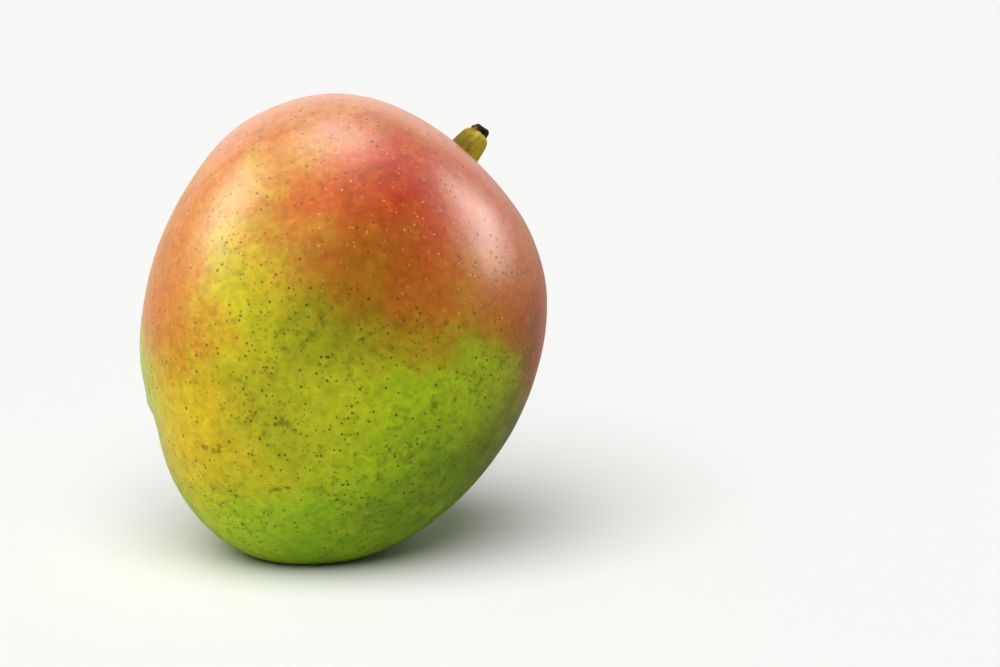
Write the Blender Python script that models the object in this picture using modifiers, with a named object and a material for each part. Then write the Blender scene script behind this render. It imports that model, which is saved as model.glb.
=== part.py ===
"""A whole mango with the stub of its stalk, standing on a small settled spot.

Two pieces: the fruit, one solid from skin to stone, and the pedicel, the short
woody stub left where the fruit was picked, which is rooted in the stem hollow.

The fruit is drawn in its own frame first, with the origin at its middle:
    +Z runs along the long axis to the stem end,
    -X is the beak side, where the small point left by the flower's style is,
    -Y is the near cheek and +Y the far cheek.
A place on the fruit is named by two angles: round, from the long axis toward
the beak side, and over, from the rim between the cheeks to the far cheek.
Then the fruit is leaned, turned and tipped back to the way it stands, and the
finished part has +Z up and its origin on the ground, under its middle.
"""

import math
from collections import namedtuple

import bmesh
import bpy
from mathutils import Matrix, Vector

# Body of the fruit, in metres
LONG_RADIUS = 0.0640        # half the length of the plain oval, stem end to tip
SIDE_RADIUS = 0.0518        # half its width, beak side to back
NEAR_CHEEK = 0.0440         # from the plane between the cheeks to the near cheek's top
FAR_CHEEK = 0.0445          # the same for the far cheek
FULLNESS = 0.05             # how much rounder than an ellipse a cut across is
CHEEK_RISE = 0.0050         # the cheeks' tops lie this far toward the stem end
CHEEK_SHIFT = 0.0020        # and this far toward the beak side

# Low swells and flats of the rim between the cheeks.  round and width are in
# degrees, height in metres, and fade says how soon it dies out over the cheek.
Swell = namedtuple("Swell", "round width height fade")
SWELLS = {
    "flat beside the stem": Swell(-19, 30, -0.0066, 1),
    "beak side shoulder": Swell(43, 14, 0.0009, 2),
    "hollow under the beak": Swell(127, 13, -0.0015, 3),
    "tip": Swell(163, 21, 0.0013, 1),
    "flat of the back": Swell(-146, 45, -0.0037, 0),
    "back shoulder": Swell(-58, 29, 0.0012, 1),
}

# Small round dents and points: where, in degrees, reach and height in metres
Spot = namedtuple("Spot", "round over reach height")
STEM_HOLLOW = Spot(-23.5, 13, 0.0085, -0.0020)
SHOULDER_BESIDE_STEM = Spot(-22, -3, 0.0120, 0.0008)
BEAK = Spot(122.5, 4, 0.0040, 0.0008)
BEAK_NOTCH = Spot(129, 1, 0.0034, -0.0008)
SPOTS = (STEM_HOLLOW, SHOULDER_BESIDE_STEM, BEAK, BEAK_NOTCH)

# How the fruit stands, in degrees
LEAN = 12                   # long axis leaned to the back shoulder's side
TURN = 6                    # beak side turned toward the near side
TIP_BACK = 6                # stem end tipped away to the far side
SETTLED = 0.0028            # depth of the settled spot it stands on

# Pedicel, in metres: it stands along the line from the fruit's middle
PEDICEL_ROOT_RADIUS = 0.0042
PEDICEL_TOP_RADIUS = 0.0030
PEDICEL_HEIGHT = 0.0088     # from the floor of the stem hollow to the shoulder
PEDICEL_ROOT_DEPTH = 0.0030
KNOB_RADIUS = 0.0020        # dried end where the stalk broke off
KNOB_HEIGHT = 0.0024
KNOB_OFFSET = 0.0008        # off the pedicel's axis, toward the back
RIBS = 9
RIB_HEIGHT = 0.00016
CLEARANCE = 0.0003          # between the pedicel and its socket

# Mesh fineness
SPHERE_LEVELS = 5
FINE_REACH = 0.22           # radians round the stem hollow and the beak
PEDICEL_STEPS = 36
SHARP_ANGLE = 50

SKIN_COLOUR = (0.42, 0.25, 0.03, 1.0)
PEDICEL_COLOUR = (0.24, 0.19, 0.03, 1.0)


def clear_scene():
    for old in list(bpy.data.objects):
        bpy.data.objects.remove(old, do_unlink=True)


def new_collection(name):
    collection = bpy.data.collections.new(name)
    bpy.context.scene.collection.children.link(collection)
    return collection


def plain_material(name, colour, roughness):
    material = bpy.data.materials.new(name)
    material.use_nodes = True
    shader = material.node_tree.nodes["Principled BSDF"]
    shader.inputs["Base Color"].default_value = colour
    shader.inputs["Roughness"].default_value = roughness
    shader.inputs["Metallic"].default_value = 0.0
    material.diffuse_color = colour
    return material


def heading(round_degrees, over_degrees):
    """Unit vector that names a place on the fruit."""
    around = math.radians(round_degrees)
    over = math.radians(over_degrees)
    flat = math.cos(over)
    return Vector((-math.sin(around) * flat, math.sin(over), math.cos(around) * flat))


def turn_between(first, second):
    """Signed difference of two angles in radians, within half a turn."""
    return (first - second + math.pi) % math.tau - math.pi


def rim_radius(around, flat):
    """Distance from the long axis' middle to the rim, swells and flats included."""
    along = SIDE_RADIUS * math.cos(around)
    across = LONG_RADIUS * math.sin(around)
    radius = LONG_RADIUS * SIDE_RADIUS / math.hypot(along, across)
    for swell in SWELLS.values():
        offset = turn_between(around, math.radians(swell.round)) / math.radians(swell.width)
        radius += swell.height * math.exp(-offset * offset) * flat ** swell.fade
    return radius


def plain_surface(direction):
    """Point of the body, without its small dents and points, that lies this way."""
    around = math.atan2(-direction.x, direction.z)
    over = max(-1.0, min(1.0, direction.y))
    flat = math.sqrt(1.0 - over * over)
    radius = rim_radius(around, flat) * flat * (1.0 + FULLNESS * over * over)
    cheek = FAR_CHEEK if over > 0.0 else NEAR_CHEEK
    return Vector((
        -radius * math.sin(around) - CHEEK_SHIFT * over * over,
        cheek * over,
        radius * math.cos(around) + CHEEK_RISE * over * over,
    ))


def surface(direction):
    """Point of the finished skin: small dents and points move it in or out."""
    point = plain_surface(direction)
    moved = 0.0
    for spot in SPOTS:
        distance = (point - plain_surface(heading(spot.round, spot.over))).length
        moved += spot.height * math.exp(-(distance / spot.reach) ** 2)
    return point + point.normalized() * moved


def standing():
    """Rotation from the fruit's own frame to the way it stands."""
    lean = Matrix.Rotation(math.radians(LEAN), 4, "Y")
    turn = Matrix.Rotation(math.radians(TURN), 4, "Z")
    back = Matrix.Rotation(math.radians(-TIP_BACK), 4, "X")
    return back @ turn @ lean


def skin_mesh():
    """A sphere, finer round the stem hollow and the beak, drawn out to the fruit."""
    bm = bmesh.new()
    bmesh.ops.create_icosphere(bm, subdivisions=SPHERE_LEVELS, radius=1.0)
    fine_places = [heading(spot.round, spot.over) for spot in (STEM_HOLLOW, BEAK)]
    near = [
        edge for edge in bm.edges
        if any(
            ((edge.verts[0].co + edge.verts[1].co) / 2 - place).length < FINE_REACH
            for place in fine_places
        )
    ]
    bmesh.ops.subdivide_edges(bm, edges=near, cuts=1, use_grid_fill=True)
    bmesh.ops.triangulate(bm, faces=bm.faces[:])
    for vertex in bm.verts:
        vertex.co = surface(vertex.co.normalized())
    mesh = bpy.data.meshes.new("fruit")
    bm.to_mesh(mesh)
    bm.free()
    return mesh


def turned_mesh(name, profile):
    """Closed turned mesh from (radius, height) points, bottom to top."""
    outline = bpy.data.meshes.new(name + "_outline")
    points = [(radius, 0.0, height) for radius, height in reversed(profile)]
    edges = [(i, i + 1) for i in range(len(points) - 1)]
    outline.from_pydata(points, edges, [])
    turned = bpy.data.objects.new(name + "_turned", outline)
    bpy.context.scene.collection.objects.link(turned)
    screw = turned.modifiers.new("Turn", "SCREW")
    screw.steps = PEDICEL_STEPS
    screw.render_steps = PEDICEL_STEPS
    screw.use_merge_vertices = True
    screw.merge_threshold = 0.00001
    depsgraph = bpy.context.evaluated_depsgraph_get()
    mesh = bpy.data.meshes.new_from_object(turned.evaluated_get(depsgraph))
    bpy.data.objects.remove(turned, do_unlink=True)
    return mesh


def stem_frame():
    """Frame on the floor of the stem hollow, with +Z out along the pedicel."""
    direction = heading(STEM_HOLLOW.round, STEM_HOLLOW.over)
    floor = surface(direction)
    turn = floor.to_track_quat("Z", "Y")
    return Matrix.Translation(floor) @ turn.to_matrix().to_4x4()


def pedicel_mesh():
    """Ribbed stub that narrows to a shoulder, with the dried broken end on top."""
    root = PEDICEL_ROOT_RADIUS
    top = PEDICEL_TOP_RADIUS
    shoulder = PEDICEL_HEIGHT
    end = shoulder + KNOB_HEIGHT
    profile = (
        (0.0, -PEDICEL_ROOT_DEPTH),
        (root, -PEDICEL_ROOT_DEPTH),
        (root, 0.0),
        (root * 0.97, shoulder * 0.30),
        (root * 0.90, shoulder * 0.62),
        (top, shoulder * 0.92),
        (top * 0.86, shoulder),
        (KNOB_RADIUS * 0.88, shoulder + KNOB_HEIGHT * 0.10),
        (KNOB_RADIUS, shoulder + KNOB_HEIGHT * 0.42),
        (KNOB_RADIUS * 0.90, shoulder + KNOB_HEIGHT * 0.80),
        (KNOB_RADIUS * 0.55, end),
        (0.0, end - KNOB_HEIGHT * 0.10),
    )
    mesh = turned_mesh("pedicel", profile)
    frame = stem_frame()
    back = frame.to_3x3().inverted() @ Vector((1.0, 0.0, 0.0))
    sideways = Vector((back.x, back.y, 0.0)).normalized()
    for vertex in mesh.vertices:
        rib_pedicel(vertex)
        rise = max(0.0, vertex.co.z / end)
        vertex.co += sideways * KNOB_OFFSET * rise * rise
    mesh.transform(frame)
    return mesh


def rib_pedicel(vertex):
    """Push a vertex of the pedicel out on a rib and in between two ribs."""
    radius = math.hypot(vertex.co.x, vertex.co.y)
    if radius < KNOB_RADIUS * 0.5 or vertex.co.z < 0.0:
        return
    around = math.atan2(vertex.co.y, vertex.co.x)
    push = 1.0 + RIB_HEIGHT * math.cos(RIBS * around) / radius
    vertex.co.x *= push
    vertex.co.y *= push


def hidden_cutter(name, bm, collection):
    mesh = bpy.data.meshes.new(name)
    bm.to_mesh(mesh)
    bm.free()
    cutter = bpy.data.objects.new(name, mesh)
    cutter.hide_render = True
    cutter.display_type = "WIRE"
    collection.objects.link(cutter)
    return cutter


def socket_cutter(collection):
    """Plain round bar where the pedicel's root goes, in the fruit's own frame."""
    radius = PEDICEL_ROOT_RADIUS + CLEARANCE
    depth = PEDICEL_ROOT_DEPTH + CLEARANCE
    above = PEDICEL_HEIGHT
    middle = Matrix.Translation((0, 0, (above - depth) / 2))
    bm = bmesh.new()
    bmesh.ops.create_cone(
        bm, cap_ends=True, segments=PEDICEL_STEPS, radius1=radius, radius2=radius,
        depth=depth + above, matrix=stem_frame() @ middle)
    return hidden_cutter("socket_cutter", bm, collection)


def ground_cutter(collection):
    """Block under the ground that takes off what lies below the settled spot."""
    size = 2 * LONG_RADIUS
    bm = bmesh.new()
    bmesh.ops.create_cube(bm, size=size, matrix=Matrix.Translation((0, 0, -size / 2)))
    return hidden_cutter("ground_cutter", bm, collection)


def cut_away(target, cutter):
    cut = target.modifiers.new(cutter.name, "BOOLEAN")
    cut.operation = "DIFFERENCE"
    cut.solver = "EXACT"
    cut.object = cutter


def resting_place(skin):
    """Matrix that stands the fruit on the ground with the origin under its middle."""
    upright = standing()
    points = [upright @ vertex.co for vertex in skin.vertices]
    lows = [min(point[axis] for point in points) for axis in range(3)]
    highs = [max(point[axis] for point in points) for axis in range(3)]
    shift = Vector((
        -(lows[0] + highs[0]) / 2,
        -(lows[1] + highs[1]) / 2,
        -(lows[2] + SETTLED),
    ))
    return Matrix.Translation(shift) @ upright


def add_piece(name, mesh, material, collection):
    mesh.materials.clear()
    mesh.materials.append(material)
    mesh.shade_smooth()
    mesh.set_sharp_from_angle(angle=math.radians(SHARP_ANGLE))
    piece = bpy.data.objects.new(name, mesh)
    collection.objects.link(piece)
    return piece


def main():
    clear_scene()
    parts = new_collection("mango")
    cutters = new_collection("cutters")
    skin = plain_material("skin", SKIN_COLOUR, 0.35)
    bark = plain_material("pedicel_bark", PEDICEL_COLOUR, 0.7)

    fruit = add_piece("fruit", skin_mesh(), skin, parts)
    pedicel = add_piece("pedicel", pedicel_mesh(), bark, parts)
    socket = socket_cutter(cutters)
    place = resting_place(fruit.data)
    for piece in (fruit, pedicel, socket):
        piece.matrix_world = place
    cut_away(fruit, socket)
    cut_away(fruit, ground_cutter(cutters))


main()
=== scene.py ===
"""Looks of the whole mango: its fine skin, the stub of its stalk, and a pale studio.

The fruit is drawn in its own frame first, with the origin at its middle:
    +Z runs along the long axis to the stem end,
    -X is the beak side, where the small point left by the flower's style is,
    -Y is the near cheek and +Y the far cheek.
A place on it is named by two angles: round, from the long axis toward the beak
side, and over, from the rim between the cheeks to the far cheek.
"""

import math
from collections import namedtuple

import bmesh
import bpy
import numpy as np
from mathutils import Matrix, Quaternion, Vector, noise


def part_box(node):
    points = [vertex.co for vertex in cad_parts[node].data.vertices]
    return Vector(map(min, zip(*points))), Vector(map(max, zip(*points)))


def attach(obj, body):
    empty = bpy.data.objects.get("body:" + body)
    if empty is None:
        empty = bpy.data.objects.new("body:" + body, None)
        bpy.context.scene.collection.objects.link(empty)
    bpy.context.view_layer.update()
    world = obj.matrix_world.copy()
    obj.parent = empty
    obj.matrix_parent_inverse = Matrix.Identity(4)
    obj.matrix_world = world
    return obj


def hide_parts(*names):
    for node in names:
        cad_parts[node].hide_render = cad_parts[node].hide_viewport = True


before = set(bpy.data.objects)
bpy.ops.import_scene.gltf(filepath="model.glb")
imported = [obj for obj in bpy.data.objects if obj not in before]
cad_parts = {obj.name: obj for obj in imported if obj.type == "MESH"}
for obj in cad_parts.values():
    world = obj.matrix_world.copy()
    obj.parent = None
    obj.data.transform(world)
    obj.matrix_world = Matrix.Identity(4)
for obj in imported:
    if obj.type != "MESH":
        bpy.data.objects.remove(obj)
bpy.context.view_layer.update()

# ---------------------------------------------------------------- the fruit's form

LONG_RADIUS = 0.0640        # half the length of the plain oval, stem end to tip
SIDE_RADIUS = 0.0518        # half its width, beak side to back
NEAR_CHEEK = 0.0440         # from the plane between the cheeks to the near cheek's top
FAR_CHEEK = 0.0445          # the same for the far cheek
FULLNESS = 0.05             # how much rounder than an ellipse a cut across is
CHEEK_RISE = 0.0050         # the cheeks' tops lie this far toward the stem end
CHEEK_SHIFT = 0.0020        # and this far toward the beak side

Swell = namedtuple("Swell", "round width height fade")
SWELLS = {
    "flat beside the stem": Swell(-19, 30, -0.0066, 1),
    "beak side shoulder": Swell(43, 14, 0.0009, 2),
    "hollow under the beak": Swell(127, 13, -0.0015, 3),
    "tip": Swell(163, 21, 0.0013, 1),
    "flat of the back": Swell(-146, 45, -0.0037, 0),
    "back shoulder": Swell(-58, 29, 0.0012, 1),
}

Spot = namedtuple("Spot", "round over reach height")
STEM_HOLLOW = Spot(-23.5, 13, 0.0085, -0.0020)
SHOULDER_BESIDE_STEM = Spot(-22, -3, 0.0120, 0.0008)
BEAK = Spot(122.5, 4, 0.0040, 0.0008)
BEAK_NOTCH = Spot(129, 1, 0.0034, -0.0008)
SPOTS = (STEM_HOLLOW, SHOULDER_BESIDE_STEM, BEAK, BEAK_NOTCH)

LEAN = 12                   # long axis leaned to the back shoulder's side, degrees
TURN = 6                    # beak side turned toward the near side
TIP_BACK = 6                # stem end tipped away to the far side

SKIN_LEVELS = 7             # subdivisions of the sphere that the skin is drawn from
FINE_REACH = 0.20           # radians round the stem and the beak where the skin is finer
LUMP_SIZE = 0.020           # uneven growth of the flesh under the skin
LUMP_HEIGHT = 0.00022
SETTLE_ROUNDING = 0.0009    # how softly the skin bends onto the ground


def new_object(name, data):
    made = bpy.data.objects.new(name, data)
    bpy.context.scene.collection.objects.link(made)
    return made


def heading(round_degrees, over_degrees):
    """Unit vector that names a place on the fruit."""
    around = math.radians(round_degrees)
    over = math.radians(over_degrees)
    flat = math.cos(over)
    return np.array([-math.sin(around) * flat, math.sin(over), math.cos(around) * flat])


def turn_between(first, second):
    """Signed difference of angles in radians, within half a turn."""
    return (first - second + math.pi) % math.tau - math.pi


def rim_radius(around, flat):
    """Distance from the middle of the long axis to the rim, swells and flats included."""
    along = SIDE_RADIUS * np.cos(around)
    across = LONG_RADIUS * np.sin(around)
    radius = LONG_RADIUS * SIDE_RADIUS / np.hypot(along, across)
    for swell in SWELLS.values():
        offset = turn_between(around, math.radians(swell.round)) / math.radians(swell.width)
        radius = radius + swell.height * np.exp(-offset * offset) * flat ** swell.fade
    return radius


def plain_surface(directions):
    """Points of the body, without its small dents and points, that lie these ways."""
    x, over, z = np.moveaxis(np.atleast_2d(directions), -1, 0)
    around = np.arctan2(-x, z)
    flat = np.sqrt(np.clip(1.0 - over * over, 0.0, 1.0))
    radius = rim_radius(around, flat) * flat * (1.0 + FULLNESS * over * over)
    cheek = np.where(over > 0.0, FAR_CHEEK, NEAR_CHEEK)
    return np.stack([
        -radius * np.sin(around) - CHEEK_SHIFT * over * over,
        cheek * over,
        radius * np.cos(around) + CHEEK_RISE * over * over,
    ], axis=-1)


def outward(points):
    return points / np.linalg.norm(points, axis=-1, keepdims=True)


def place_of(spot):
    return plain_surface(heading(spot.round, spot.over))[0]


def surface(directions):
    """Points of the skin: small dents and points move it in or out."""
    points = plain_surface(directions)
    moved = np.zeros(len(points))
    for spot in SPOTS:
        distance = np.linalg.norm(points - place_of(spot), axis=-1)
        moved += spot.height * np.exp(-(distance / spot.reach) ** 2)
    return points + outward(points) * moved[:, None]


def standing():
    """Rotation from the fruit's own frame to the way it stands."""
    lean = Matrix.Rotation(math.radians(LEAN), 3, "Y")
    turn = Matrix.Rotation(math.radians(TURN), 3, "Z")
    back = Matrix.Rotation(math.radians(-TIP_BACK), 3, "X")
    return np.array(back @ turn @ lean)


def sphere_directions():
    """Sphere that the skin is drawn from, finer round the stem and the beak."""
    bm = bmesh.new()
    bmesh.ops.create_icosphere(bm, subdivisions=SKIN_LEVELS, radius=1.0)
    for reach in (FINE_REACH, FINE_REACH * 0.7):
        near = []
        for spot in (STEM_HOLLOW, BEAK):
            place = Vector(heading(spot.round, spot.over))
            near += [e for e in bm.edges if (e.verts[0].co - place).length < reach]
        bmesh.ops.subdivide_edges(bm, edges=list(set(near)), cuts=1, use_grid_fill=True)
        bmesh.ops.triangulate(bm, faces=bm.faces[:])
    mesh = bpy.data.meshes.new("fruit_skin")
    bm.to_mesh(mesh)
    bm.free()
    directions = np.empty(len(mesh.vertices) * 3)
    mesh.vertices.foreach_get("co", directions)
    return mesh, outward(directions.reshape(-1, 3))


def lumps(points):
    """Gentle unevenness, so that the shine isn't as smooth as on a ball."""
    return np.array([
        noise.noise(Vector(p) / LUMP_SIZE) + 0.4 * noise.noise(Vector(p) / (LUMP_SIZE * 0.45))
        for p in points
    ])


def stand_up(points, shift):
    return points @ standing().T + shift


def standing_shift():
    """Shift that brings the turned body into the box of the solid it stands for."""
    low, high = (np.array(corner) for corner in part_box("fruit"))
    spans = np.linspace(-1.0, 1.0, 241)
    around, over = np.meshgrid(np.pi * spans, 0.5 * np.pi * spans)
    flat = np.cos(over)
    ways = np.stack([-np.sin(around) * flat, np.sin(over), np.cos(around) * flat], axis=-1)
    turned = surface(ways.reshape(-1, 3)) @ standing().T
    middle = (turned.min(axis=0) + turned.max(axis=0)) / 2
    shift = (low + high) / 2 - middle
    shift[2] = high[2] - turned[:, 2].max()
    return shift


SHIFT = standing_shift()


def make_skin():
    mesh, directions = sphere_directions()
    points = surface(directions)
    points = points + outward(points) * (lumps(points) * LUMP_HEIGHT)[:, None]
    points = stand_up(points, SHIFT)
    low, high = (np.array(corner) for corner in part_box("fruit"))
    soft = SETTLE_ROUNDING
    points[:, 2] = 0.5 * (points[:, 2] + np.sqrt(points[:, 2] ** 2 + soft * soft))
    points[:, 2] -= points[:, 2].min()
    middle = (low + high) / 2
    half = (high - low) / 2
    points = middle + np.clip(points - middle, -half, half)
    mesh.vertices.foreach_set("co", points.ravel())
    mesh.shade_smooth()
    mesh.update()
    skin = new_object("fruit_skin", mesh)
    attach(skin, "root")
    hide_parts("fruit")
    return skin


# ---------------------------------------------------------------- the stub of the stalk

PEDICEL_ROOT_RADIUS = 0.0042
PEDICEL_TOP_RADIUS = 0.0030
PEDICEL_HEIGHT = 0.0092     # from the floor of the stem hollow to the shoulder
PEDICEL_ROOT_DEPTH = 0.0030
KNOB_RADIUS = 0.0020        # dried end where the stalk broke off
KNOB_HEIGHT = 0.0024
KNOB_OFFSET = 0.0006        # off the pedicel's axis, toward the back
RIBS = 9
RIB_HEIGHT = 0.00016
WRINKLE_HEIGHT = 0.00012    # fine lengthwise wrinkles of the drying stalk
CRUMPLE_HEIGHT = 0.00022    # unevenness of the broken end
PEDICEL_SIDES = 160
PEDICEL_RINGS = 120


def stem_frame():
    """Frame on the floor of the stem hollow as it stands, with +Z out along the pedicel."""
    floor = surface(heading(STEM_HOLLOW.round, STEM_HOLLOW.over))[0]
    turn = Vector(floor).to_track_quat("Z", "Y").to_matrix()
    turned = Matrix(standing().tolist()) @ turn
    return Matrix.Translation(Vector(stand_up(floor, SHIFT))) @ turned.to_4x4()


def pedicel_profile():
    """Radius and height of the stub's rings, from the root to the dried end."""
    root = PEDICEL_ROOT_RADIUS
    shoulder = PEDICEL_HEIGHT
    knob = KNOB_RADIUS
    end = shoulder + KNOB_HEIGHT
    profile = np.array([
        (root * 0.97, -PEDICEL_ROOT_DEPTH * 0.9),
        (root, 0.0),
        (root * 1.03, shoulder * 0.30),
        (root * 0.99, shoulder * 0.58),
        (root * 0.91, shoulder * 0.80),
        (PEDICEL_TOP_RADIUS * 1.13, shoulder * 0.94),
        (PEDICEL_TOP_RADIUS * 0.92, shoulder * 1.01),
        (knob * 1.20, shoulder * 1.03),
        (knob * 1.24, shoulder + KNOB_HEIGHT * 0.35),
        (knob * 1.14, shoulder + KNOB_HEIGHT * 0.68),
        (knob * 0.90, shoulder + KNOB_HEIGHT * 0.93),
        (knob * 0.55, end),
        (knob * 0.28, end - KNOB_HEIGHT * 0.06),
        (0.0, end - KNOB_HEIGHT * 0.10),
    ])
    steps = np.hypot(*np.diff(profile, axis=0).T)
    length = np.concatenate([[0.0], np.cumsum(steps)])
    places = np.linspace(0.0, length[-1], PEDICEL_RINGS)
    rings = np.stack([np.interp(places, length, profile[:, k]) for k in (0, 1)], axis=-1)
    for _ in range(3):
        rings[1:-1] = rings[1:-1] / 2 + (rings[2:] + rings[:-2]) / 4
    return rings


def make_pedicel():
    shape = stem_frame()
    back = shape.to_3x3().inverted() @ Vector(standing() @ np.array([1.0, 0.0, 0.0]))
    sideways = Vector((back.x, back.y, 0.0)).normalized()
    end = PEDICEL_HEIGHT + KNOB_HEIGHT
    bm = bmesh.new()
    rows = []
    for radius, height in pedicel_profile()[:-1]:
        row = []
        dried = min(1.0, max(0.0, (height / PEDICEL_HEIGHT - 1.0) / 0.05))
        for step in range(PEDICEL_SIDES):
            around = math.tau * step / PEDICEL_SIDES
            side = Vector((math.cos(around), math.sin(around), 0.0))
            wander = 0.5 * noise.noise(side * 1.3 + Vector((0, 0, height * 160)))
            ribs = math.cos(RIBS * around + wander) * RIB_HEIGHT
            ribs *= 0.5 + 0.7 * noise.noise(side * 1.7 + Vector((5, 0, height * 90)))
            wrinkles = noise.noise(side * 5.5 + Vector((0, 9, height * 190))) * WRINKLE_HEIGHT
            crumple = noise.noise(side * 2.2 + Vector((3, 3, height * 1100))) * CRUMPLE_HEIGHT
            fade = min(1.0, radius / KNOB_RADIUS)
            grown = radius + (1 - dried) * (ribs + wrinkles) + dried * crumple * fade
            rise = max(0.0, height / end)
            lift = dried * crumple * 0.8
            point = side * grown + Vector((0, 0, height + lift))
            point += sideways * KNOB_OFFSET * rise ** 2
            row.append(bm.verts.new(point))
        rows.append(row)
    for low, high in zip(rows, rows[1:]):
        for step in range(PEDICEL_SIDES):
            after = (step + 1) % PEDICEL_SIDES
            bm.faces.new((low[step], low[after], high[after], high[step]))
    bm.faces.new(list(reversed(rows[0])))
    bm.faces.new(rows[-1])
    mesh = bpy.data.meshes.new("pedicel_stub")
    bm.to_mesh(mesh)
    bm.free()
    mesh.shade_smooth()
    stub = new_object("pedicel_stub", mesh)
    stub.matrix_world = shape
    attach(stub, "root")
    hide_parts("pedicel")
    return stub


# ---------------------------------------------------------------- shader groups

def add(tree, kind, inputs=(), **settings):
    """Node of one kind, with its settings made and its inputs set or linked."""
    node = tree.nodes.new("ShaderNode" + kind)
    for name, value in settings.items():
        setattr(node, name, value)
    for key, value in dict(inputs).items():
        if isinstance(value, bpy.types.NodeSocket):
            tree.links.new(value, node.inputs[key])
        else:
            node.inputs[key].default_value = value
    return node


def maths(tree, operation, first, second=0.0):
    return add(tree, "Math", {0: first, 1: second}, operation=operation).outputs[0]


def fade(tree, value, start, end, low=0.0, high=1.0):
    """Soft step of a value from one level to another."""
    limits = {"Value": value, "From Min": start, "From Max": end, "To Min": low, "To Max": high}
    step = add(tree, "MapRange", limits, interpolation_type="SMOOTHSTEP")
    return step.outputs["Result"]


def blend(tree, mask, first, second, kind="MIX"):
    colours = {0: mask, 6: first, 7: second}
    return add(tree, "Mix", colours, data_type="RGBA", blend_type=kind).outputs[2]


def new_group(name, takes, gives):
    """Empty shader group with its sockets, given by name and kind."""
    group = bpy.data.node_groups.new(name, "ShaderNodeTree")
    for label, kind in takes.items():
        group.interface.new_socket(label, in_out="INPUT", socket_type="NodeSocket" + kind)
    for label, kind in gives.items():
        group.interface.new_socket(label, in_out="OUTPUT", socket_type="NodeSocket" + kind)
    group_in = group.nodes.new("NodeGroupInput").outputs
    group_out = group.nodes.new("NodeGroupOutput").inputs
    return group, group_in, group_out


def use(tree, group, **inputs):
    """One use of a group, with its inputs set or linked; gives its outputs."""
    node = add(tree, "Group", node_tree=group)
    for name, value in inputs.items():
        socket = node.inputs[name.replace("_", " ")]
        if isinstance(value, bpy.types.NodeSocket):
            tree.links.new(value, socket)
        else:
            socket.default_value = value
    return node.outputs


def make_wander_group():
    """Place shifted by soft noise, so that the edges of patches aren't round."""
    tree, takes, gives = new_group(
        "wandering_edge", {"Place": "Vector", "Scale": "Float", "Reach": "Float"},
        {"Place": "Vector"})
    cloud = add(tree, "TexNoise", {"Vector": takes["Place"], "Scale": takes["Scale"],
                                   "Detail": 4.0, "Roughness": 0.62})
    centred = add(tree, "VectorMath", {0: cloud.outputs["Color"], 1: (0.5, 0.5, 0.5)},
                  operation="SUBTRACT").outputs[0]
    shift = add(tree, "VectorMath", {0: centred, "Scale": takes["Reach"]}, operation="SCALE")
    moved = add(tree, "VectorMath", {0: takes["Place"], 1: shift.outputs[0]}, operation="ADD")
    tree.links.new(moved.outputs[0], gives["Place"])
    return tree


def make_patch_group():
    """Mask that is one round a centre and fades out toward an oval edge."""
    tree, takes, gives = new_group(
        "soft_patch", {"Place": "Vector", "Centre": "Vector", "Size": "Vector",
                       "Softness": "Float", "Strength": "Float"}, {"Mask": "Float"})
    offset = add(tree, "VectorMath", {0: takes["Place"], 1: takes["Centre"]},
                 operation="SUBTRACT").outputs[0]
    scaled = add(tree, "VectorMath", {0: offset, 1: takes["Size"]}, operation="DIVIDE").outputs[0]
    far = add(tree, "VectorMath", {0: scaled}, operation="LENGTH").outputs["Value"]
    inner = maths(tree, "SUBTRACT", 1.0, takes["Softness"])
    outer = maths(tree, "ADD", 1.0, takes["Softness"])
    tree.links.new(fade(tree, far, outer, inner, 0.0, takes["Strength"]), gives["Mask"])
    return tree


def make_uneven_group():
    """Cloudy value between nought and one, with its contrast."""
    tree, takes, gives = new_group(
        "uneven", {"Place": "Vector", "Scale": "Float", "Detail": "Float", "Low": "Float",
                   "High": "Float"}, {"Value": "Float"})
    cloud = add(tree, "TexNoise", {"Vector": takes["Place"], "Scale": takes["Scale"],
                                   "Detail": takes["Detail"], "Roughness": 0.6})
    step = add(tree, "MapRange", {"Value": cloud.outputs["Fac"], "From Min": takes["Low"],
                                  "From Max": takes["High"]})
    tree.links.new(step.outputs["Result"], gives["Value"])
    return tree


def make_pore_group():
    """Scattered round dots: how far apart, how wide against that, and how many show."""
    tree, takes, gives = new_group(
        "pores", {"Place": "Vector", "Per Metre": "Float", "Radius": "Float",
                  "Share": "Float"}, {"Dots": "Float"})
    cells = add(tree, "TexVoronoi", {"Vector": takes["Place"], "Scale": takes["Per Metre"],
                                     "Randomness": 0.92})
    draws = add(tree, "SeparateColor", {0: cells.outputs["Color"]}).outputs
    width = maths(tree, "MULTIPLY", takes["Radius"], fade(tree, draws[1], 0.0, 1.0, 0.6, 1.25))
    core = maths(tree, "MULTIPLY", width, 0.45)
    dot = fade(tree, cells.outputs["Distance"], width, core)
    shown = maths(tree, "LESS_THAN", draws[0], takes["Share"])
    depth = fade(tree, draws[2], 0.0, 1.0, 0.4, 1.0)
    dot = maths(tree, "MULTIPLY", dot, depth)
    tree.links.new(maths(tree, "MULTIPLY", dot, shown), gives["Dots"])
    return tree


WANDER = make_wander_group()
SOFT_PATCH = make_patch_group()
UNEVEN = make_uneven_group()
PORES = make_pore_group()


def plain_place(tree):
    return add(tree, "TexCoord").outputs["Object"]


def grey(tree, level):
    return add(tree, "CombineColor", {0: level, 1: level, 2: level}).outputs[0]


# how many clouds to a metre, how finely broken, and where they start and are full
Cloud = namedtuple("Cloud", "scale detail low high")


def cloudy(tree, place, cloud):
    return use(tree, UNEVEN, Place=place, Scale=cloud.scale, Detail=cloud.detail,
               Low=cloud.low, High=cloud.high)["Value"]


# how many dots to a metre, and their radius against the room that each has
Dots = namedtuple("Dots", "per_metre radius")


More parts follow.
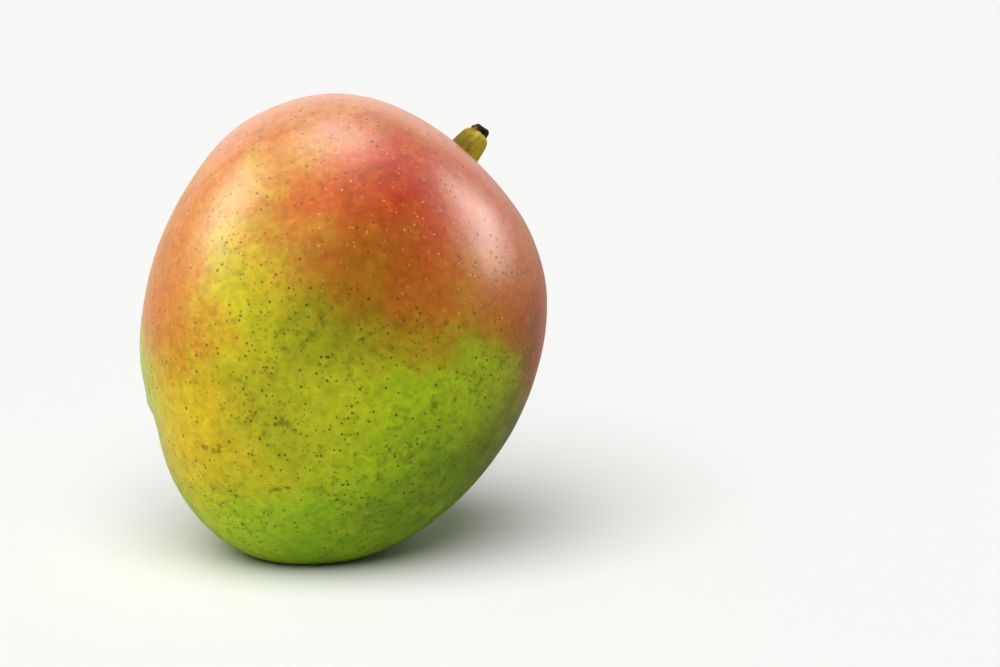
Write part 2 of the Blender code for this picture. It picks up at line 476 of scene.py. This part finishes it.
def dotted(tree, place, dots, share):
    return use(tree, PORES, Place=place, Per_Metre=dots.per_metre, Radius=dots.radius,
               Share=share)["Dots"]


# ---------------------------------------------------------------- the skin's colours

YELLOW_GREEN = (0.36, 0.42, 0.003, 1)
BRIGHT_GREEN = (0.31, 0.50, 0.003, 1)
LEAF_GREEN = (0.22, 0.42, 0.004, 1)
LEAF_OLIVE = (0.29, 0.31, 0.003, 1)
OLIVE_BROWN = (0.20, 0.17, 0.004, 1)
FRESH_GREEN = (0.38, 0.54, 0.003, 1)
# painted shade: deep green that darkens the lower back and the foot
PAINTED_SHADE_GREEN = (0.08, 0.18, 0.004, 1)
# painted shade: dark olive for the shaded back edge
PAINTED_SHADE_OLIVE = (0.11, 0.12, 0.004, 1)
OLIVE = (0.30, 0.28, 0.003, 1)
YELLOW = (0.59, 0.41, 0.010, 1)
LEMON = (0.58, 0.56, 0.008, 1)
AMBER = (0.60, 0.33, 0.012, 1)
ORANGE = (0.56, 0.165, 0.008, 1)
OCHRE = (0.52, 0.16, 0.005, 1)
SALMON = (0.56, 0.21, 0.08, 1)
SCARLET = (0.61, 0.085, 0.010, 1)
CRIMSON = (0.48, 0.035, 0.008, 1)
BRICK = (0.52, 0.080, 0.008, 1)
BROWN_RED = (0.38, 0.11, 0.004, 1)
# painted shade: dark red for the shaded edge of the blush
PAINTED_SHADE_RED = (0.22, 0.022, 0.003, 1)
CORK = (0.20, 0.11, 0.035, 1)

# place on the fruit, half width and half height in metres, colour, softness, strength
Patch = namedtuple("Patch", "round over wide tall colour softness strength")
PATCHES = {
    "greener side under the back": Patch(-138, -52, 0.034, 0.034, BRIGHT_GREEN, 0.6, 0.9),
    "foot": Patch(-160, -26, 0.036, 0.020, LEAF_GREEN, 0.55, 0.8),
    # painted shade: the lower back and the foot darkened to deep green
    "painted shade on the lower back": Patch(-132, -8, 0.032, 0.040, PAINTED_SHADE_GREEN, 0.55, 0.95),
    "painted shade on the foot": Patch(-160, -14, 0.027, 0.022, PAINTED_SHADE_GREEN, 0.7, 0.85),
    # painted shade: the lower back edge darkened to dark olive
    "painted shade of the back edge": Patch(-106, -12, 0.017, 0.030, PAINTED_SHADE_OLIVE, 0.7, 0.75),
    "yellow flank": Patch(86, -50, 0.020, 0.038, YELLOW, 0.45, 0.95),
    "yellow below the middle": Patch(128, -36, 0.015, 0.025, YELLOW, 0.5, 0.9),
    "yellow toward the tip": Patch(150, -46, 0.015, 0.010, YELLOW, 0.6, 0.6),
    "lemon heart": Patch(90, -61, 0.010, 0.016, LEMON, 0.6, 0.8),
    "olive of the middle": Patch(158, -71, 0.016, 0.017, LEAF_OLIVE, 0.8, 0.75),
    "light green heart": Patch(178, -75, 0.014, 0.016, LEMON, 0.7, 0.6),
    "fresh green below the blush": Patch(-106, -58, 0.021, 0.013, FRESH_GREEN, 0.7, 0.9),
    "olive below the blush": Patch(-58, -70, 0.036, 0.014, OLIVE, 0.5, 0.9),
    "blush on the shoulder": Patch(-26, -50, 0.034, 0.027, BRICK, 0.4, 1.0),
    "blush over the top": Patch(25, -18, 0.040, 0.025, SALMON, 0.4, 1.0),
    "orange fleck": Patch(104, -49, 0.008, 0.006, ORANGE, 0.7, 0.6),
    "brown patch below the blush": Patch(-97, -70, 0.013, 0.006, OCHRE, 0.8, 0.4),
    # partly the skin's own olive, partly painted shade on the back edge
    "olive and painted shade of the back edge": Patch(-98, -38, 0.013, 0.014, OLIVE_BROWN, 0.8, 0.3),
    "green reaching up": Patch(104, -80, 0.007, 0.008, LEAF_OLIVE, 0.8, 0.5),
    "amber between": Patch(42, -59, 0.017, 0.018, AMBER, 0.6, 0.85),
    "orange beak side": Patch(71, -19, 0.017, 0.027, ORANGE, 0.45, 0.95),
    "ochre rim": Patch(92, -29, 0.015, 0.016, OCHRE, 0.5, 0.8),
    "orange shoulder": Patch(42, -38, 0.018, 0.010, ORANGE, 0.7, 0.3),
    "pale crown": Patch(6, -46, 0.009, 0.006, SALMON, 0.8, 0.6),
    "scarlet crown": Patch(4, -62, 0.022, 0.0105, SCARLET, 0.6, 0.88),
    "crimson heart": Patch(-14, -46, 0.0155, 0.0150, CRIMSON, 0.6, 1.0),
    # painted highlight: the skin made paler where the right highlight's edge falls
    "painted highlight beside the heart": Patch(-35, -37, 0.009, 0.013, SALMON, 0.8, 0.7),
    "brown red middle": Patch(-2, -76, 0.015, 0.012, BROWN_RED, 0.6, 0.8),
    "yellow at the beak side": Patch(94, -51, 0.006, 0.007, YELLOW, 0.8, 0.7),
    "yellow fleck of the shoulder": Patch(41, -36, 0.0040, 0.0030, YELLOW, 0.9, 0.45),
    "yellow fleck below it": Patch(42, -47, 0.0045, 0.0030, YELLOW, 0.9, 0.5),
    "amber fleck of the crown": Patch(25, -46, 0.0035, 0.0030, AMBER, 0.9, 0.6),
    "amber fleck of the middle": Patch(27, -66, 0.0050, 0.0040, AMBER, 0.9, 0.5),
    "olive under the crown": Patch(45, -86, 0.008, 0.007, OLIVE_BROWN, 0.8, 0.4),
    "ochre of the back": Patch(-62, -46, 0.017, 0.010, AMBER, 0.6, 0.45),
    "brick edge": Patch(-66, -36, 0.013, 0.012, BRICK, 0.7, 0.8),
    # painted shade and painted reflection: the red back edge darkened to dark red
    "painted shade of the red edge": Patch(-82, -20, 0.012, 0.016, PAINTED_SHADE_RED, 0.6, 0.9),
    "blush down the back": Patch(-66, 4, 0.022, 0.026, BRICK, 0.55, 0.95),
    "far shoulder": Patch(-20, 40, 0.050, 0.032, BRICK, 0.4, 1.0),
    "far crimson": Patch(-35, 50, 0.026, 0.016, CRIMSON, 0.6, 0.85),
    "far flank": Patch(80, 50, 0.030, 0.036, AMBER, 0.5, 0.8),
    "far olive": Patch(-60, 80, 0.045, 0.016, OLIVE, 0.6, 0.6),
    "far foot": Patch(-170, 40, 0.046, 0.024, LEAF_GREEN, 0.6, 0.8),
}

# places where the pores crowd, and how far; then brown scuffs with half width and height
CROWDED_PORES = (
    (146, -60, 0.010),
    (160, -66, 0.008),
    (-102, -48, 0.006),
    (-142, -50, 0.009),
    (-128, -40, 0.010),
    (-168, -44, 0.010),
    (30, -52, 0.007),
    (-50, -46, 0.010),
    (-150, -30, 0.014),
    (-172, -58, 0.012),
    (-158, -46, 0.013),
    (-126, -54, 0.009),
    (120, -70, 0.010),
)
SCUFFS = (
    (143, -40, 0.0035, 0.0016),
    (147, -45, 0.0020, 0.0030),
    (152, -55, 0.0022, 0.0025),
    (158, -62, 0.0045, 0.0020),
    (168, -48, 0.0030, 0.0018),
    (-143, -53, 0.0040, 0.0018),
    (-104, -50, 0.0030, 0.0024),
    (120, 40, 0.0050, 0.0030),
    (-120, 60, 0.0060, 0.0025),
)
SCUFF_BROWN = (0.13, 0.075, 0.008, 1)

EDGE_WANDERS = ((38.0, 0.022), (210.0, 0.012), (620.0, 0.0065))     # scale and reach
YELLOWING = Cloud(75.0, 4.0, 0.42, 0.70)
DARKENING = Cloud(150.0, 4.0, 0.50, 0.75)
REDDENING = Cloud(230.0, 4.0, 0.50, 0.70)
RIPENING = Cloud(310.0, 4.0, 0.54, 0.74)
BLOTCHES = Cloud(120.0, 3.0, 0.3, 0.7)
FLECKS = Cloud(480.0, 4.0, 0.3, 0.7)
CROWDING = Cloud(60.0, 2.0, 0.38, 0.64)
SMUDGING = Cloud(330.0, 3.0, 0.52, 0.72)
RUBBING = Cloud(420.0, 4.0, 0.50, 0.60)
SMALL_PORES = Dots(720.0, 0.31)
LARGE_PORES = Dots(360.0, 0.16)
PALE_PORES = Dots(680.0, 0.24)
PORES_IN_GREEN = (0.075, 0.065, 0.002, 1)
PORES_IN_RED = (0.18, 0.045, 0.008, 1)
PALE_PORE = (0.74, 0.42, 0.14, 1)

CORKY_REACH = 0.0075        # corky skin round the stub
SCAR_REACH = 0.0012         # scar of the style on the beak
ORANGE_PEEL = 0.000012      # height of the skin's finest grain
PORE_DEPTH = 0.00004


def skin_place(round_degrees, over_degrees):
    """Place on the standing fruit's skin."""
    point = surface(heading(round_degrees, over_degrees))
    return Vector(stand_up(point, SHIFT)[0])


def skin_material():
    material = bpy.data.materials.new("mango_skin")
    material.use_nodes = True
    tree = material.node_tree
    shader = tree.nodes["Principled BSDF"]
    place = plain_place(tree)
    wandered = place
    for scale, reach in EDGE_WANDERS:
        wandered = use(tree, WANDER, Place=wandered, Scale=scale, Reach=reach)["Place"]

    colour = YELLOW_GREEN
    for patch in PATCHES.values():
        mask = use(tree, SOFT_PATCH, Place=wandered, Centre=skin_place(patch.round, patch.over),
                   Size=(patch.wide, patch.wide, patch.tall), Softness=patch.softness,
                   Strength=patch.strength)["Mask"]
        colour = blend(tree, mask, colour, patch.colour)

    parts = add(tree, "SeparateColor", {0: colour}).outputs
    redness = fade(tree, maths(tree, "SUBTRACT", parts[0], parts[1]), 0.10, 0.42)

    greenness = maths(tree, "SUBTRACT", 1.0, redness)
    drift = cloudy(tree, place, YELLOWING)
    drift = maths(tree, "MULTIPLY", maths(tree, "MULTIPLY", drift, greenness), 0.16)
    colour = blend(tree, drift, colour, LEMON)
    darker = cloudy(tree, place, DARKENING)
    colour = blend(tree, maths(tree, "MULTIPLY", darker, 0.24), colour,
                   blend(tree, redness, LEAF_GREEN, BROWN_RED))
    warm = cloudy(tree, place, REDDENING)
    warm = maths(tree, "MULTIPLY", warm, fade(tree, redness, 0.0, 0.5, 0.08, 0.55))
    colour = blend(tree, warm, colour, BRICK)
    ripe = cloudy(tree, place, RIPENING)
    ripe = maths(tree, "MULTIPLY", ripe, fade(tree, redness, 0.3, 1.0, 0.10, 0.28))
    colour = blend(tree, ripe, colour, AMBER)
    blotches = cloudy(tree, place, BLOTCHES)
    flecks = cloudy(tree, place, FLECKS)
    shade = maths(tree, "ADD", maths(tree, "MULTIPLY", blotches, 0.18),
                  maths(tree, "MULTIPLY", flecks, 0.26))
    shade = maths(tree, "ADD", shade, 0.79)
    colour = blend(tree, 1.0, colour, grey(tree, shade), "MULTIPLY")

    crowd = cloudy(tree, place, CROWDING)
    for around, over, reach in CROWDED_PORES:
        mask = use(tree, SOFT_PATCH, Place=wandered, Centre=skin_place(around, over),
                   Size=(reach,) * 3, Softness=0.6, Strength=1.0)["Mask"]
        crowd = maths(tree, "MAXIMUM", crowd, mask)
    fewer = fade(tree, redness, 0.1, 0.9, 1.0, 0.6)
    share = maths(tree, "ADD", maths(tree, "MULTIPLY", crowd, 0.92), 0.24)
    share = maths(tree, "MULTIPLY", share, fewer)
    small = dotted(tree, place, SMALL_PORES, share)
    large = dotted(tree, place, LARGE_PORES, maths(tree, "MULTIPLY", share, 0.8))
    dark = maths(tree, "MAXIMUM", small, large)
    pore_colour = blend(tree, redness, PORES_IN_GREEN, PORES_IN_RED)
    smudge = cloudy(tree, place, SMUDGING)
    smudge = maths(tree, "MULTIPLY", maths(tree, "MULTIPLY", smudge, share), 0.45)
    colour = blend(tree, smudge, colour, pore_colour)
    colour = blend(tree, maths(tree, "MULTIPLY", dark, 0.88), colour, pore_colour)
    moved = add(tree, "VectorMath", {0: place, 1: (0.31, 0.17, 0.23)}, operation="ADD").outputs[0]
    pale_share = maths(tree, "MULTIPLY", redness, 0.62)
    pale = dotted(tree, moved, PALE_PORES, pale_share)
    colour = blend(tree, maths(tree, "MULTIPLY", pale, 0.6), colour, PALE_PORE)

    rubbed = cloudy(tree, place, RUBBING)
    for around, over, wide, tall in SCUFFS:
        mask = use(tree, SOFT_PATCH, Place=wandered, Centre=skin_place(around, over),
                   Size=(wide, wide, tall), Softness=0.6, Strength=0.75)["Mask"]
        colour = blend(tree, maths(tree, "MULTIPLY", mask, rubbed), colour, SCUFF_BROWN)

    cork = use(tree, SOFT_PATCH, Place=wandered,
               Centre=skin_place(STEM_HOLLOW.round, STEM_HOLLOW.over),
               Size=(CORKY_REACH,) * 3, Softness=0.3, Strength=0.85)["Mask"]
    colour = blend(tree, cork, colour, OLIVE)
    scar = use(tree, SOFT_PATCH, Place=place, Centre=skin_place(BEAK.round, BEAK.over),
               Size=(SCAR_REACH,) * 3, Softness=0.4, Strength=0.9)["Mask"]
    colour = blend(tree, scar, colour, CORK)

    tree.links.new(colour, shader.inputs["Base Color"])
    rough = maths(tree, "ADD", maths(tree, "MULTIPLY", flecks, 0.08), 0.31)
    rough = maths(tree, "ADD", rough, maths(tree, "MULTIPLY", dark, 0.15))
    tree.links.new(rough, shader.inputs["Roughness"])
    shader.inputs["Specular IOR Level"].default_value = 0.6
    shader.inputs["Sheen Weight"].default_value = 0.02
    shader.inputs["Sheen Roughness"].default_value = 0.4
    peel = add(tree, "TexNoise", {"Vector": place, "Scale": 700.0, "Detail": 2.0}).outputs["Fac"]
    height = maths(tree, "SUBTRACT", maths(tree, "MULTIPLY", peel, ORANGE_PEEL),
                   maths(tree, "MULTIPLY", maths(tree, "MAXIMUM", dark, pale), PORE_DEPTH))
    bump = add(tree, "Bump", {"Height": height, "Distance": 1.0, "Strength": 1.0})
    tree.links.new(bump.outputs[0], shader.inputs["Normal"])
    return material


STALK_OLIVE = (0.38, 0.27, 0.013, 1)
STALK_BROWN = (0.075, 0.048, 0.004, 1)
STALK_YELLOW = (0.54, 0.43, 0.045, 1)
STALK_RUST = (0.24, 0.11, 0.006, 1)
DRIED_BLACK = (0.014, 0.007, 0.002, 1)
BARK_GRAIN = Cloud(900.0, 4.0, 0.35, 0.65)
BARK_BROWNING = Cloud(420.0, 4.0, 0.50, 0.66)
BARK_RUST = Cloud(300.0, 3.0, 0.55, 0.70)
BARK_SPECKS = Dots(1500.0, 0.25)
BARK_STRETCH = (1.0, 1.0, 0.22)     # drawn out along the stalk


def pedicel_material():
    material = bpy.data.materials.new("stalk_bark")
    material.use_nodes = True
    tree = material.node_tree
    shader = tree.nodes["Principled BSDF"]
    place = plain_place(tree)
    along = add(tree, "SeparateXYZ", {0: place}).outputs[2]
    streaked = add(tree, "VectorMath", {0: place, 1: BARK_STRETCH},
                   operation="MULTIPLY").outputs[0]
    grain = cloudy(tree, streaked, BARK_GRAIN)
    colour = blend(tree, grain, STALK_OLIVE, STALK_YELLOW)
    browned = cloudy(tree, streaked, BARK_BROWNING)
    low_part = fade(tree, along, PEDICEL_HEIGHT * 0.75, 0.0)
    browned = maths(tree, "MULTIPLY", browned, fade(tree, low_part, 0.0, 1.0, 0.5, 0.95))
    colour = blend(tree, browned, colour, STALK_BROWN)
    rust = cloudy(tree, place, BARK_RUST)
    colour = blend(tree, maths(tree, "MULTIPLY", rust, 0.6), colour, STALK_RUST)
    wandered = use(tree, WANDER, Place=place, Scale=700.0, Reach=0.0012)["Place"]
    height_here = add(tree, "SeparateXYZ", {0: wandered}).outputs[2]
    below = fade(tree, height_here, PEDICEL_HEIGHT * 0.84, PEDICEL_HEIGHT * 0.93)
    above = fade(tree, height_here, PEDICEL_HEIGHT * 1.04, PEDICEL_HEIGHT * 0.98)
    rim = maths(tree, "MULTIPLY", below, above)
    colour = blend(tree, maths(tree, "MULTIPLY", rim, 0.7), colour, STALK_YELLOW)
    dried = fade(tree, height_here, PEDICEL_HEIGHT * 0.99, PEDICEL_HEIGHT * 1.06)
    colour = blend(tree, dried, colour, DRIED_BLACK)
    upright = stem_frame().to_3x3().inverted()
    for aside, rise, size, shade, strength in (
            (Vector((-0.6, -0.8, 0.0)), 1.0, 0.0012, STALK_RUST, 0.9),
            (Vector((-0.75, -0.65, 0.0)), 0.42, 0.0036, STALK_BROWN, 0.75)):
        side = upright @ aside
        centre = Vector((side.x, side.y, 0.0)).normalized() * PEDICEL_TOP_RADIUS * 0.95
        centre.z = PEDICEL_HEIGHT * rise
        mask = use(tree, SOFT_PATCH, Place=wandered, Centre=centre, Size=(size,) * 3,
                   Softness=0.6, Strength=strength)["Mask"]
        colour = blend(tree, mask, colour, shade)
    specks = dotted(tree, place, BARK_SPECKS, 0.35)
    colour = blend(tree, maths(tree, "MULTIPLY", specks, 0.4), colour, STALK_BROWN)
    tree.links.new(colour, shader.inputs["Base Color"])
    rough = maths(tree, "ADD", maths(tree, "MULTIPLY", grain, 0.2), 0.5)
    tree.links.new(rough, shader.inputs["Roughness"])
    shader.inputs["Specular IOR Level"].default_value = 0.08
    height = maths(tree, "MULTIPLY", grain, 0.00008)
    bump = add(tree, "Bump", {"Height": height, "Distance": 1.0, "Strength": 1.0})
    tree.links.new(bump.outputs[0], shader.inputs["Normal"])
    return material


# ---------------------------------------------------------------- studio

LENS = 90.0                 # millimetres, on a 36 mm wide picture
CAMERA_DISTANCE = 0.648
CAMERA_RISE = 12            # degrees above level
AIM = Vector((0.04025, 0.0, 0.05725))

DIM_SIDE = (10, 28)         # bearing and rise of the middle of the dim part, degrees
DIM_EDGE = (45, 75)         # degrees from there where it starts and ends to brighten
DIM_GLOSS = 0.04            # what the shine sees there
BRIGHT_GLOSS = 0.90         # and all round it
FILL = 0.20                 # even light that everything gets
FLOOR_REACH = 6.0
FLOOR_COLOUR = (0.88, 0.88, 0.87, 1)
LEFT_BOUNCE = (1.22, 1.22, 0.42, 1)         # the floor's light on the fruit, from the left
RIGHT_BOUNCE = (0.80, 0.80, 0.28, 1)        # and from the right
BOUNCE_TURNS = (-0.06, 0.08)                # where the one gives way to the other
FLOOR_SHINE = (-0.10, 0.20, 0.08, 0.55)     # from where to where, and from how much to how much
SHINE_TURNS = (-0.06, 0.06, 1.4, 0.75)      # the same from left to right
BACKDROP = 0.92             # where the floor ends

BOX_DISTANCE = 0.9
# how bright each box is as light on the skin, as shine on it, and its turn in its own plane
SoftBox = namedtuple("SoftBox", "bearing rise width height light shine turn")
SOFT_BOXES = {
    "top": SoftBox(150, 88, 0.66, 0.66, 3.8, 4.4, 0),
    "left": SoftBox(-87, 35, 0.50, 0.48, 4.7, 5.7, 0),
    "right": SoftBox(102, 26.5, 0.66, 0.31, 2.9, 8.6, 27),
    "rim": SoftBox(-172, 26, 1.20, 0.50, 0.0, 0.8, 0),
    "key": SoftBox(-30, 42, 0.70, 0.70, 2.3, 0.0, 0),
}
WASH_BEARING = -16          # the light over the floor
WASH_RISE = 61
WASH_ANGLE = 64             # how wide it is, for soft shadows
WASH_STRENGTH = 3.3


def make_camera():
    data = bpy.data.cameras.new("camera")
    data.lens = LENS
    data.sensor_width = 36.0
    data.dof.use_dof = False
    data.clip_start = 0.01
    camera = new_object("camera", data)
    rise = math.radians(CAMERA_RISE)
    camera.location = AIM + Vector((0, -math.cos(rise), math.sin(rise))) * CAMERA_DISTANCE
    camera.rotation_euler = (math.radians(90) - rise, 0, 0)
    bpy.context.scene.camera = camera


def make_floor():
    mesh = bpy.data.meshes.new("floor")
    bm = bmesh.new()
    bmesh.ops.create_circle(bm, cap_ends=True, segments=96, radius=FLOOR_REACH)
    bm.to_mesh(mesh)
    bm.free()
    floor = new_object("floor", mesh)
    material = bpy.data.materials.new("pale_floor")
    material.use_nodes = True
    tree = material.node_tree
    shader = tree.nodes["Principled BSDF"]
    shader.inputs["Roughness"].default_value = 0.8
    shader.inputs["Specular IOR Level"].default_value = 0.2
    # the floor is dimmer in the shine than it is to look at, most of all in front and
    # to the right, so the colours stay deep
    ray = add(tree, "LightPath").outputs
    across, back, _ = add(tree, "SeparateXYZ", {0: plain_place(tree)}).outputs
    bounce = blend(tree, fade(tree, across, *BOUNCE_TURNS), LEFT_BOUNCE, RIGHT_BOUNCE)
    seen = blend(tree, ray["Is Diffuse Ray"], FLOOR_COLOUR, bounce)
    level = maths(tree, "MULTIPLY", fade(tree, back, *FLOOR_SHINE),
                  fade(tree, across, *SHINE_TURNS))
    colour = blend(tree, ray["Is Glossy Ray"], seen, grey(tree, level))
    tree.links.new(colour, shader.inputs["Base Color"])
    mesh.materials.append(material)
    return floor


def toward(bearing, rise):
    """Unit vector to a place round the fruit: bearing from the camera's side toward +X."""
    b, r = math.radians(bearing), math.radians(rise)
    return Vector((math.sin(b) * math.cos(r), -math.cos(b) * math.cos(r), math.sin(r)))


def add_lamp(name, kind, bearing, rise, distance, lit, turn=0):
    """Lamp aimed at the fruit's middle, for the pieces of one collection."""
    data = bpy.data.lights.new(name, kind)
    lamp = new_object(name, data)
    way = toward(bearing, rise)
    lamp.location = Vector((0, 0, 0.06)) + way * distance
    spin = Quaternion((0, 0, 1), math.radians(turn))
    lamp.rotation_euler = (way.to_track_quat("Z", "Y") @ spin).to_euler()
    lamp.light_linking.receiver_collection = lit
    return lamp


def collection_of(name, pieces):
    group = bpy.data.collections.new(name)
    for piece in pieces:
        group.objects.link(piece)
    return group


def make_lights(mango, floor):
    lit = collection_of("lit_by_the_boxes", mango)
    for name, box in SOFT_BOXES.items():
        for use_name, radiance, nearer in (("light", box.light, 1.0), ("shine", box.shine, 0.9)):
            if not radiance:
                continue
            lamp = add_lamp(name + "_" + use_name, "AREA", box.bearing, box.rise,
                            BOX_DISTANCE * nearer, lit, box.turn)
            lamp.visible_diffuse = use_name == "light"
            lamp.visible_glossy = use_name == "shine"
            data = lamp.data
            data.shape = "RECTANGLE"
            data.size = box.width * nearer
            data.size_y = box.height * nearer
            data.energy = radiance * math.pi * data.size * data.size_y
    lit = collection_of("lit_by_the_wash", [floor])
    wash = add_lamp("floor_wash", "SUN", WASH_BEARING, WASH_RISE, 1.0, lit).data
    wash.angle = math.radians(WASH_ANGLE)
    wash.energy = WASH_STRENGTH


def make_world():
    """Tent round the fruit: even fill, and a pale surround for the shine, dim in front."""
    world = bpy.data.worlds.new("studio")
    bpy.context.scene.world = world
    world.use_nodes = True
    tree = world.node_tree
    tree.nodes.clear()
    shade = add(tree, "Background")
    out = add(tree, "OutputWorld")
    tree.links.new(shade.outputs[0], out.inputs["Surface"])
    place = add(tree, "TexCoord").outputs["Generated"]
    front = add(tree, "VectorMath", {0: place, 1: toward(*DIM_SIDE)}, operation="DOT_PRODUCT")
    inner, outer = (math.cos(math.radians(edge)) for edge in DIM_EDGE)
    level = fade(tree, front.outputs["Value"], outer, inner, BRIGHT_GLOSS, DIM_GLOSS)
    ray = add(tree, "LightPath").outputs
    shine = add(tree, "Mix", {0: ray["Is Glossy Ray"], 2: FILL, 3: level}).outputs[0]
    seen = add(tree, "Mix", {0: ray["Is Camera Ray"], 2: shine, 3: BACKDROP}).outputs[0]
    tree.links.new(seen, shade.inputs["Strength"])


skin = make_skin()
skin.data.materials.append(skin_material())
pedicel = make_pedicel()
pedicel.data.materials.append(pedicel_material())
make_lights([skin, pedicel], make_floor())
make_world()
make_camera()
bpy.context.scene.view_settings.view_transform = "Standard"
